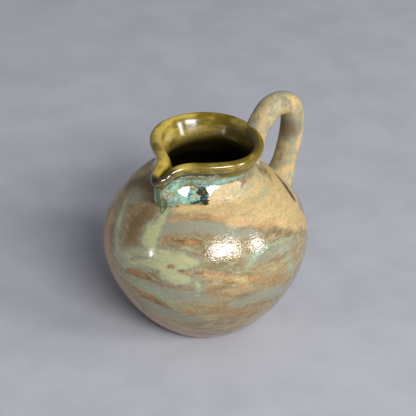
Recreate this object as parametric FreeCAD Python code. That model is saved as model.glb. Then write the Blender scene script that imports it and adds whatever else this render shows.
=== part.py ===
import FreeCAD, Part
import math
import os

from FreeCAD import Vector

# A small wheel-thrown jug with a pinched spout and one pulled loop handle, in millimetres.
# +Z is up and the origin is the middle of the foot. The handle lies over +X, and the spout
# points SPOUT_ANGLE round from it, because the two were not set quite opposite each other.

# Clay body: the belly over its base, the shoulder up to the joint with the neck, and the floor
BASE_RADIUS = 28.4
BELLY_RADIUS = 50.4
BELLY_HEIGHT = 43.0
JOINT_RADIUS = 31.5
SHOULDER_RISE = 34.0
WALL = 4.0
JOINT_WALL = 5.0
FLOOR_THICKNESS = 5.3
FLOOR_CORNER_WALL = 6.4

# Foot ring: the band that the jug stands on, turned in a little from the base
FOOT_HEIGHT = 2.2
FOOT_INSET = 2.2
FOOT_RING_WIDTH = 5.0

# Neck: its narrowest radius, and its rises from the joint to there and on to the lip
WAIST_RADIUS = 22.9
NECK_WALL = 3.5
NECK_RISE = 11.5
LIP_RISE = 8.7

# Rolled lip: the mean radius of its crest and the half sizes of the roll
LIP_RADIUS = 25.6
LIP_HALF_WIDTH = 2.1
LIP_HALF_HEIGHT = 2.2

# Pinched spout: how far it reaches past the lip and how far its tip hangs below it
SPOUT_ANGLE = 203.0
SPOUT_LENGTH = 12.2
SPOUT_DROOP = 4.0

# Glaze: the thickness of a fired coat, and the thick run below the spout
GLAZE = 0.35
RUN_HALF_WIDTH = 2.1
RUN_HEIGHT = 2.0
RUN_STAND = 1.7

# Handle: how far its centre line reaches past the waist and rises over the lip, its two ends
# above and below the joint and their depth under the clay's skin, and its oval section
HANDLE_SPAN = 27.1
HANDLE_RISE = 10.3
HANDLE_ROOT_RISE = 5.0
HANDLE_FOOT_DROP = 16.0
HANDLE_ROOT_SINK = 1.5
HANDLE_FOOT_SINK = 5.5
HANDLE_HALF_DEPTH = 5.3
HANDLE_HALF_WIDTH = 5.7
HANDLE_FOOT_HALF_WIDTH = 6.4

# Luting: the wads of clay pressed round the two ends of the handle, flaring towards the wall
UPPER_WAD_FLARE = 1.6
LOWER_WAD_FLARE = 2.6

# Heights and reaches that follow from these
JOINT_HEIGHT = BELLY_HEIGHT + SHOULDER_RISE
WAIST_HEIGHT = JOINT_HEIGHT + NECK_RISE
LIP_HEIGHT = WAIST_HEIGHT + LIP_RISE
FLOOR_HEIGHT = FOOT_HEIGHT + FLOOR_THICKNESS
FLOOR_RADIUS = BASE_RADIUS - FLOOR_CORNER_WALL
BORE_RADIUS = WAIST_RADIUS - NECK_WALL
SPOUT_REACH = LIP_RADIUS + SPOUT_LENGTH

# Swell of the belly: share of the height, share of the way to the fullest radius
SWELL_SHARES = ((0.118, 0.221), (0.363, 0.567), (0.681, 0.864), (1.0, 1.0))
SHOULDER_SHARES = ((0.40, 0.91), (0.735, 0.54), (1.0, 0.0))

# Rings of the flat floor inside the hollow
FLOOR_SHARES = (0.66, 0.32)

# Plan of the lip's crest, once round from the side away from the spout:
# degrees from the spout, share of the lip radius
FAR_LIP_SHARES = (
    (180, 1.000), (201, 1.022), (220, 1.035), (238, 1.058), (255, 1.055), (270, 1.025),
    (286, 0.985), (303, 0.945), (322, 0.912), (339, 0.945),
)
# The spout's crest from its far side round its tip: share of the reach, share of the lip radius
SPOUT_SHARES = (
    (0.710, -0.215), (0.840, -0.150), (0.960, -0.086), (1.0, 0.0),
    (0.965, 0.078), (0.850, 0.118), (0.730, 0.182),
)
NEAR_LIP_SHARES = (
    (20, 0.970), (35, 0.925), (52, 0.940), (68, 0.990), (84, 1.025), (101, 1.037),
    (119, 1.020), (138, 0.995), (158, 0.985),
)

# Outside of the neck above the joint: share of the height to the waist, share of the joint's
# extra radius, share of the spout's pinch
NECK_SHARES = ((0.304, 0.49, 0.42), (0.609, 0.27, 0.70), (1.0, 0.0, 0.83))
# The hollow between the waist and the lip: shares of the height, of the radius, of the pinch
THROAT_SHARES = ((0.30, 0.12, 0.90), (0.60, 0.55, 0.98))
# Inside of the neck below the lip, in the same three shares
BORE_SHARES = ((0.80, 0.39, 0.92), (0.42, 0.14, 0.78), (0.0, 0.0, 0.55))
BORE_FOOT_SHARES = ((0.62, 0.135, 0.33), (0.30, 0.32, 0.12))
# Turns round the rolled lip, in degrees from straight out
LIP_TURNS = (-50, -10, 35, 70, 105, 135)
# How much of the hollow under the lip the spout keeps
SPOUT_HOLLOW_SHARE = 0.30
# How much of the lip's half width the spout keeps at its tip
SPOUT_LIP_SHARE = 0.50

# Centre line of the handle: shares of the way to its reach and to its top
NECK_LEG_SHARES = (
    (0.0, 0.0), (0.10, 0.25), (0.155, 0.44), (0.225, 0.615), (0.33, 0.785),
    (0.47, 0.94), (0.655, 1.0),
)
SHOULDER_LEG_SHARES = (
    (0.64, 0.965), (0.93, 0.885), (1.0, 0.78), (0.955, 0.63), (0.815, 0.465),
    (0.60, 0.31), (0.33, 0.155), (0.0, 0.0),
)
HANDLE_SECTION_POINTS = 14
# The stretches of the handle's length that its wads go round, from their thin edge to their root
UPPER_WAD_SHARES = (0.15, 0.0)
LOWER_WAD_SHARES = (0.84, 1.0)
# How a wad flares from its thin edge to its root, as shares of its full flare
FLARE_SHARES = (0.02, 0.12, 0.38, 0.80, 1.10)
# Width of the glaze run from the spout's tip down, as shares of its full half width
RUN_FALL_SHARE = 0.72
RUN_WIDTH_SHARES = (0.6, 0.8, 0.95, 1.0, 1.0, 0.95, 0.9, 0.8, 0.65, 0.45)
# How far the run's middle stands off the keel, in shares of its full stand
RUN_STAND_SHARES = (0.0, 0.45, 0.85, 1.0, 1.0, 0.85, 0.6, 0.35, 0.15, 0.0)


def mix(start, end, share):
    return start + (end - start) * share


def polar(radius, degrees, height):
    angle = math.radians(degrees)
    return Vector(radius * math.cos(angle), radius * math.sin(angle), height)


def turned(vector):
    """A vector of the spout's own frame, where the spout points along +X."""
    return FreeCAD.Rotation(Vector(0, 0, 1), SPOUT_ANGLE).multVec(vector)


def interpolated(points, parameters, closed):
    curve = Part.BSplineCurve()
    curve.interpolate(Points=points, Parameters=parameters, PeriodicFlag=closed)
    return curve


def skin(rings, u_parameters, v_parameters):
    """One smooth surface through rings of points, closed round each ring."""
    curves = [interpolated(ring, u_parameters, True) for ring in rings]
    columns = zip(*[curve.getPoles() for curve in curves])
    lines = [interpolated(list(column), v_parameters, False) for column in columns]
    surface = Part.BSplineSurface()
    surface.buildFromPolesMultsKnots(
        [line.getPoles() for line in lines],
        curves[0].getMultiplicities(), lines[0].getMultiplicities(),
        curves[0].getKnots(), lines[0].getKnots(),
        True, False, curves[0].Degree, lines[0].Degree)
    return surface


def band(surface, start, end):
    """The face of a skin between two of its rings."""
    part = surface.copy()
    first, last, _, _ = part.bounds()
    part.segment(first, last, start, end)
    return part.toShape()


def ring_edge(surface, at):
    return surface.vIso(at).toShape()


def disc(surface, at):
    return Part.Face(Part.Wire(ring_edge(surface, at)))


def annulus(surface, outside, inside):
    rim = Part.Wire(ring_edge(surface, outside))
    hole = Part.Wire(ring_edge(surface, inside))
    return Part.makeFace([rim, hole], "Part::FaceMakerBullseye")


def closed_solid(pieces):
    """The solid that faces meeting edge to edge close in."""
    shell = Part.makeShell([face for piece in pieces for face in piece.Faces])
    shell.sewShape()
    solid = Part.Solid(shell)
    if solid.Volume < 0:
        solid.reverse()
    return solid


def lip_plan():
    """The crest of the lip from above, starting away from the spout, and the spout tip's place."""
    far = [polar(LIP_RADIUS * share, turn, 0) for turn, share in FAR_LIP_SHARES]
    spout = [Vector(SPOUT_REACH * out, LIP_RADIUS * across, 0) for out, across in SPOUT_SHARES]
    near = [polar(LIP_RADIUS * share, turn, 0) for turn, share in NEAR_LIP_SHARES]
    reach = [point.x for point in spout]
    tip = len(far) + reach.index(max(reach))
    return far + spout + near, tip


def lip_columns():
    """For each point of the lip: its crest, outward side, place round the throat and pinch."""
    plan, tip = lip_plan()
    count = len(plan)
    steps = [plan[i].distanceToPoint(plan[(i + 1) % count]) for i in range(count)]
    shares = [sum(steps[:i]) / sum(steps) for i in range(count + 1)]
    columns = []
    for i, crest in enumerate(plan):
        along = plan[(i + 1) % count] - plan[i - 1]
        side = Vector(along.y, -along.x, 0).normalize()
        turn = SPOUT_ANGLE + math.degrees(math.tau * (shares[i] - shares[tip]))
        nose = max(0, (crest.Length - LIP_RADIUS) / (SPOUT_REACH - LIP_RADIUS))
        columns.append((turned(crest), turned(side), turn, nose))
    return columns, shares


def ring(columns, radius, height, pinch=0.0, spout_share=SPOUT_HOLLOW_SHARE):
    """One ring of the vessel: round at pinch 0, and along the lip's plan at pinch 1."""
    points = []
    for crest, side, turn, nose in columns:
        offset = (radius - LIP_RADIUS) * mix(1, spout_share, nose)
        lip_point = crest + side * offset
        point = mix(polar(radius, turn, 0), lip_point, pinch)
        droop = SPOUT_DROOP * nose * (height - JOINT_HEIGHT) / (LIP_HEIGHT - JOINT_HEIGHT)
        point.z = height - droop * pinch
        points.append(point)
    return points


def belly_levels(bottom_radius, bottom, full_radius, joint_radius):
    """Radius and height pairs from the bottom of the belly up to the joint with the neck."""
    levels = [(bottom_radius, bottom)]
    for rise, swell in SWELL_SHARES:
        levels.append((mix(bottom_radius, full_radius, swell), mix(bottom, BELLY_HEIGHT, rise)))
    for rise, swell in SHOULDER_SHARES:
        height = mix(BELLY_HEIGHT, JOINT_HEIGHT, rise)
        levels.append((mix(joint_radius, full_radius, swell), height))
    return levels


def vessel_rings(columns):
    """The rings of the clay from the base up over the lip and down to the middle of the floor,
    and the numbers of those where one piece or coat gives way to the next."""
    marks = {"base": 0}
    rings = []
    for radius, height in belly_levels(BASE_RADIUS, FOOT_HEIGHT, BELLY_RADIUS, JOINT_RADIUS):
        rings.append(ring(columns, radius, height))
    marks["shoulder"] = len(rings) - 2
    marks["joint"] = len(rings) - 1
    for rise, flare, pinch in NECK_SHARES:
        radius = mix(WAIST_RADIUS, JOINT_RADIUS, flare)
        rings.append(ring(columns, radius, mix(JOINT_HEIGHT, WAIST_HEIGHT, rise), pinch))
    marks["waist"] = len(rings) - 1
    for rise, flare, pinch in THROAT_SHARES:
        radius = mix(WAIST_RADIUS, LIP_RADIUS, flare)
        rings.append(ring(columns, radius, mix(WAIST_HEIGHT, LIP_HEIGHT, rise), pinch))
    marks["under_lip"] = len(rings) - 1
    for turn in LIP_TURNS:
        radius = LIP_RADIUS + LIP_HALF_WIDTH * math.cos(math.radians(turn))
        height = LIP_HEIGHT + LIP_HALF_HEIGHT * math.sin(math.radians(turn))
        rings.append(ring(columns, radius, height, 1.0, SPOUT_LIP_SHARE))
    for rise, flare, pinch in BORE_SHARES:
        radius = mix(BORE_RADIUS, LIP_RADIUS, flare)
        rings.append(ring(columns, radius, mix(WAIST_HEIGHT, LIP_HEIGHT, rise), pinch))
    marks["bore"] = len(rings) - 1
    for rise, flare, pinch in BORE_FOOT_SHARES:
        radius = mix(BORE_RADIUS, JOINT_RADIUS, flare)
        rings.append(ring(columns, radius, mix(JOINT_HEIGHT, WAIST_HEIGHT, rise), pinch))
    marks["inner_joint"] = len(rings)
    hollow = belly_levels(FLOOR_RADIUS, FLOOR_HEIGHT, BELLY_RADIUS - WALL, JOINT_RADIUS - JOINT_WALL)
    for radius, height in reversed(hollow):
        rings.append(ring(columns, radius, height))
    for share in FLOOR_SHARES:
        rings.append(ring(columns, FLOOR_RADIUS * share, FLOOR_HEIGHT))
    marks["floor"] = len(rings) - 1
    return rings, marks


def running_shares(points):
    """Shares of the length of a line of points, from 0 at its start to 1 at its end."""
    steps = [a.distanceToPoint(b) for a, b in zip(points, points[1:])]
    return [sum(steps[:i]) / sum(steps) for i in range(len(points))]


def raised(rings, surface, u_parameters, v_parameters, distance):
    """The same rings moved off the surface by a distance along its normals, and the last
    one, on the flat floor, straight up."""
    lifted = [
        [point + surface.normal(u, v) * distance for point, u in zip(ring_points, u_parameters)]
        for ring_points, v in zip(rings[:-1], v_parameters)
    ]
    return lifted + [[point + Vector(0, 0, distance) for point in rings[-1]]]


def vessel_skins():
    """The clay's skin, the glaze's skin over it, and the parameters of the marked rings."""
    columns, u_parameters = lip_columns()
    rings, marks = vessel_rings(columns)
    v_parameters = running_shares([points[0] for points in rings])
    clay = skin(rings, u_parameters, v_parameters)
    glaze = skin(raised(rings, clay, u_parameters, v_parameters, GLAZE), u_parameters, v_parameters)
    places = {name: v_parameters[number] for name, number in marks.items()}
    noses = [column[3] for column in columns]
    places["tip"] = u_parameters[noses.index(max(noses))]
    return clay, glaze, places


def coat(clay, glaze, start, end):
    """A glaze coat over the clay's skin between two of its rings."""
    ends = [Part.makeRuledSurface(ring_edge(clay, at), ring_edge(glaze, at)) for at in (start, end)]
    return closed_solid([band(clay, start, end), band(glaze, start, end)] + ends)


def liner_coat(clay, glaze, start, end):
    """The glaze inside the vessel, closed across the middle of the floor."""
    top = Part.makeRuledSurface(ring_edge(clay, start), ring_edge(glaze, start))
    faces = [band(clay, start, end), band(glaze, start, end), top, disc(clay, end), disc(glaze, end)]
    return closed_solid(faces)


def thrown_body(clay, places):
    seat = annulus(clay, places["joint"], places["inner_joint"])
    outside = band(clay, places["base"], places["joint"])
    inside = band(clay, places["inner_joint"], places["floor"])
    return closed_solid([outside, seat, inside, disc(clay, places["floor"]), disc(clay, places["base"])])


def spouted_neck(clay, places):
    seat = annulus(clay, places["joint"], places["inner_joint"])
    return closed_solid([band(clay, places["joint"], places["inner_joint"]), seat])


def foot_ring():
    outer = BASE_RADIUS - FOOT_INSET
    inner = outer - FOOT_RING_WIDTH
    outline = [
        Vector(inner, 0, 0), Vector(outer, 0, 0),
        Vector(BASE_RADIUS, 0, FOOT_HEIGHT), Vector(inner, 0, FOOT_HEIGHT),
    ]
    profile = Part.Face(Part.makePolygon(outline + outline[:1]))
    return profile.revolve(Vector(0, 0, 0), Vector(0, 0, 1), 360)


def tube_skin(centres, side, depths, widths):
    """The skin of an oval rod on a flat path: half depths in its plane, half widths across it."""
    shares = running_shares(centres)
    path = interpolated(centres, shares, False)
    turns = [math.tau * i / HANDLE_SECTION_POINTS for i in range(HANDLE_SECTION_POINTS)]
    rings = []
    for centre, share, depth, width in zip(centres, shares, depths, widths):
        out = path.tangent(share)[0].cross(side).normalize()
        rings.append([
            centre + out * (depth * math.cos(turn)) + side * (width * math.sin(turn))
            for turn in turns
        ])
    section = [i / HANDLE_SECTION_POINTS for i in range(HANDLE_SECTION_POINTS + 1)]
    return skin(rings, section, shares)


def rod(surface):
    return closed_solid([band(surface, 0, 1), disc(surface, 0), disc(surface, 1)])


def radius_at_height(surface, height, low, high):
    """The radius of a skin, between two of its rings, at a height."""
    for _ in range(40):
        middle = (low + high) / 2
        if surface.value(0, middle).z < height:
            low = middle
        else:
            high = middle
    point = surface.value(0, low)
    return math.hypot(point.x, point.y)


def handle_centres(clay, places):
    """The handle's centre line over +X, from inside the neck over the top into the shoulder."""
    root_height = JOINT_HEIGHT + HANDLE_ROOT_RISE
    foot_height = JOINT_HEIGHT - HANDLE_FOOT_DROP
    root_radius = radius_at_height(clay, root_height, places["joint"], places["waist"])
    foot_radius = radius_at_height(clay, foot_height, places["base"], places["joint"])
    legs = (
        (NECK_LEG_SHARES, root_radius - HANDLE_ROOT_SINK, root_height),
        (SHOULDER_LEG_SHARES, foot_radius - HANDLE_FOOT_SINK, foot_height),
    )
    reach = WAIST_RADIUS + HANDLE_SPAN
    top = LIP_HEIGHT + HANDLE_RISE
    return [
        Vector(mix(radius, reach, out), 0, mix(height, top, rise))
        for shares, radius, height in legs
        for out, rise in shares
    ]


def handle_half_width(share):
    """Half the handle's width at a share of its length: it spreads over its second half."""
    return mix(HANDLE_HALF_WIDTH, HANDLE_FOOT_HALF_WIDTH, max(0, 2 * share - 1))


def handle_skin(centres, extra):
    """The skin of the pulled handle, or of its coat when extra is the glaze."""
    widths = [handle_half_width(share) + extra for share in running_shares(centres)]
    return tube_skin(centres, Vector(0, 1, 0), [HANDLE_HALF_DEPTH + extra] * len(centres), widths)


def wad(centres, start, end, flare):
    """Clay pressed round one end of the handle, flaring from its thin edge to its root."""
    path = interpolated(centres, running_shares(centres), False)
    places = [mix(start, end, i / (len(FLARE_SHARES) - 1)) for i in range(len(FLARE_SHARES))]
    extras = [GLAZE + flare * share for share in FLARE_SHARES]
    depths = [HANDLE_HALF_DEPTH + extra for extra in extras]
    widths = [handle_half_width(place) + extra for place, extra in zip(places, extras)]
    return rod(tube_skin([path.value(place) for place in places], Vector(0, 1, 0), depths, widths))


def spout_run(clay, places):
    """The thick run of glaze from under the spout's tip down to the shoulder."""
    top = places["under_lip"]
    bottom = mix(top, places["shoulder"], RUN_FALL_SHARE)
    last = len(RUN_WIDTH_SHARES) - 1
    out = turned(Vector(1, 0, 0))
    centres = [
        clay.value(places["tip"], mix(top, bottom, i / last)) + out * (RUN_STAND * share)
        for i, share in enumerate(RUN_STAND_SHARES)
    ]
    side = turned(Vector(0, 1, 0))
    depths = [RUN_HEIGHT * share for share in RUN_WIDTH_SHARES]
    widths = [RUN_HALF_WIDTH * share for share in RUN_WIDTH_SHARES]
    return rod(tube_skin(centres, side, depths, widths))


def main_piece(shape):
    """The largest solid that a cut leaves, without what it leaves inside the hollow."""
    return max(shape.Solids, key=lambda solid: solid.Volume)


def cut_by(shape, tools):
    for tool in tools:
        shape = main_piece(shape.cut(tool))
    return shape


def jug():
    """Every piece by name."""
    clay, glaze, places = vessel_skins()
    body = thrown_body(clay, places)
    neck = spouted_neck(clay, places)
    centres = handle_centres(clay, places)
    handle_clay = handle_skin(centres, 0)
    handle_coat = handle_skin(centres, GLAZE)
    pulled = rod(handle_clay)
    upper = wad(centres, *UPPER_WAD_SHARES, UPPER_WAD_FLARE)
    lower = wad(centres, *LOWER_WAD_SHARES, LOWER_WAD_FLARE)
    run = spout_run(clay, places)
    vessel = [body, neck]
    on_glaze = [rod(handle_coat), upper, lower, run]
    pieces = {
        "thrown_body": body,
        "spouted_neck": neck,
        "foot_ring": foot_ring(),
        "loop_handle": cut_by(pulled, vessel),
        "upper_joint_wad": cut_by(upper, vessel + [pulled]),
        "lower_joint_wad": cut_by(lower, vessel + [pulled]),
        "spout_glaze_run": cut_by(run, vessel),
        "handle_glaze": cut_by(coat(handle_clay, handle_coat, 0, 1), vessel + [upper, lower]),
        "body_glaze": cut_by(coat(clay, glaze, places["base"], places["under_lip"]), on_glaze),
        "rim_glaze": cut_by(coat(clay, glaze, places["under_lip"], places["bore"]), on_glaze),
        "liner_glaze": liner_coat(clay, glaze, places["bore"], places["floor"]),
    }
    return pieces


def main():
    os.makedirs("parts", exist_ok=True)
    for name, shape in jug().items():
        print(name, shape.ShapeType, shape.isValid(), round(shape.Volume, 1), shape.BoundBox)
        shape.exportStep("parts/" + name + ".step")


main()
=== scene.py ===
import math

import bmesh
import bpy
import numpy as np
from bpy.props import FloatProperty, FloatVectorProperty, IntProperty, PointerProperty
from mathutils import Matrix, Vector


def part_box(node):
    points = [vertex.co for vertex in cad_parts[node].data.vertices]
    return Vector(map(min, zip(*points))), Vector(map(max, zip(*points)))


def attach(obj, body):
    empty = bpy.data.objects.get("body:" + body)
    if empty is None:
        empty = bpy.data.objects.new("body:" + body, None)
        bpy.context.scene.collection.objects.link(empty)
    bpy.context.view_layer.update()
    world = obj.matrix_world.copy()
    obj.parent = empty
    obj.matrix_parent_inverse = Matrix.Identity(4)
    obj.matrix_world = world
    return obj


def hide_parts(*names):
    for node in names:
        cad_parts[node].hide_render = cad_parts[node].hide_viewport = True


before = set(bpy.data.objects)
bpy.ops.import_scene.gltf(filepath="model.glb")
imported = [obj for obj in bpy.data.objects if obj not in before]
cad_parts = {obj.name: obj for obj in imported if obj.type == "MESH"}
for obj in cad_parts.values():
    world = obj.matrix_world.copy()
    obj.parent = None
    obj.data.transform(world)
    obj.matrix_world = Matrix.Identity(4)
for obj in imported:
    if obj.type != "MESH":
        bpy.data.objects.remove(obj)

bl_info = {
    "name": "Pinched spout jug",
    "version": (1, 0, 0),
    "blender": (4, 5, 0),
    "location": "View3D > Sidebar > Jug",
    "description": "Glaze coats, handle and studio for a thrown jug with a pinched spout",
    "category": "Object",
}

MM = 0.001
LOWEST = {name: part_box(name)[0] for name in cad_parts}
HIGHEST = {name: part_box(name)[1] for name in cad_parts}
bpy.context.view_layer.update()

# Shape of the clay, as shares: swell of the belly and shoulder (height, radius)
SWELL_SHARES = ((0.118, 0.221), (0.363, 0.567), (0.681, 0.864), (1.0, 1.0))
SHOULDER_SHARES = ((0.40, 0.91), (0.735, 0.54), (1.0, 0.0))
# Plan of the lip's crest: degrees from the spout, share of the lip radius
FAR_LIP_SHARES = (
    (180, 1.000), (201, 1.022), (220, 1.035), (238, 1.058), (255, 1.055), (270, 1.025),
    (286, 0.985), (303, 0.945), (322, 0.912), (339, 0.945),
)
# The spout's crest round its tip: share of the reach, share of the lip radius across
SPOUT_SHARES = (
    (0.710, -0.215), (0.840, -0.150), (0.960, -0.086), (1.0, 0.0),
    (0.965, 0.078), (0.850, 0.118), (0.730, 0.182),
)
NEAR_LIP_SHARES = (
    (20, 0.970), (35, 0.925), (52, 0.940), (68, 0.990), (84, 1.025), (101, 1.037),
    (119, 1.020), (138, 0.995), (158, 0.985),
)
# Neck and bore: shares of the height, of the radius and of the spout's pinch
NECK_SHARES = ((0.304, 0.49, 0.42), (0.609, 0.27, 0.70), (1.0, 0.0, 0.83))
THROAT_SHARES = ((0.30, 0.12, 0.90), (0.60, 0.55, 0.98))
BORE_SHARES = ((0.80, 0.39, 0.92), (0.42, 0.14, 0.78), (0.0, 0.0, 0.55))
BORE_FOOT_SHARES = ((0.62, 0.135, 0.33), (0.30, 0.32, 0.12))
# Degrees round the rolled lip's section, from its outer side over the crest to the bore
LIP_TURNS = (-50, -10, 35, 70, 105, 135)
# How much of a ring's offset from the crest is left at the spout's tip, on the walls and the lip
SPOUT_HOLLOW_SHARE = 0.30
SPOUT_LIP_SHARE = 0.50
# Rings on the floor inside, as shares of its radius
FLOOR_SHARES = (0.66, 0.32)
# Centre line of the handle: shares of the way to its reach and to its top
NECK_LEG_SHARES = (
    (0.0, 0.0), (0.10, 0.25), (0.155, 0.44), (0.225, 0.615), (0.33, 0.785),
    (0.47, 0.94), (0.655, 1.0),
)
SHOULDER_LEG_SHARES = (
    (0.64, 0.965), (0.93, 0.885), (1.0, 0.78), (0.955, 0.63), (0.815, 0.465),
    (0.60, 0.31), (0.33, 0.155), (0.0, 0.0),
)
# Where the upper wad ends and the lower one begins along that line, the power that bends their
# flare, and how much of the set flare their ends reach
UPPER_WAD_SHARE = 0.15
LOWER_WAD_SHARE = 0.84
FLARE_CURVE = 1.6
FULL_FLARE_SHARE = 1.10
# Where along that line the section starts to spread towards the foot
SPREAD_SHARE = 0.5
# The run of glaze: how far down to the shoulder, then its width and stand along its length
RUN_FALL_SHARE = 0.72
RUN_WIDTH_SHARES = (0.6, 0.8, 0.95, 1.0, 1.0, 0.95, 0.9, 0.8, 0.65, 0.45)
RUN_STAND_SHARES = (0.0, 0.45, 0.85, 1.0, 1.0, 0.85, 0.6, 0.35, 0.15, 0.0)
# Points along and round the meshes that are swept; the handle's first few show the way that
# its buried end goes on
HANDLE_POINTS, FIRST_POINTS, BURIED_POINTS, HANDLE_SIDES = 181, 4, 8, 48
RUN_POINTS, RUN_SIDES = 60, 20
# One row of points for this many of the glazed side's, where a coat's underside is hidden
UNDERSIDE_STEP = 3
# Painted shade on the handle: inside its bend, and where its root meets the lip
BEND_SHADE_SPOT = (45.0 * MM, -3.0 * MM, 94.0 * MM)
ROOT_SHADE_SPOT = (22.0 * MM, 5.0 * MM, 96.0 * MM)
# Level directions: to the side where the mouth's inside gets painted shade, with painted light on
# the other side, and across the spout's run towards its side with painted shade
SHADED_MOUTH_SIDE = (0.78, -0.62, 0.0)
ACROSS_RUN = (0.39, -0.92, 0.0)
# How many times height counts in a noise that runs round with the throwing, or down with a drip
ROUND_THE_WALL = 3.2
DOWN_THE_WALL = 0.28
# Depth in mm of a point that no brush stroke is near
FAR_OUTSIDE = -9.0

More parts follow.
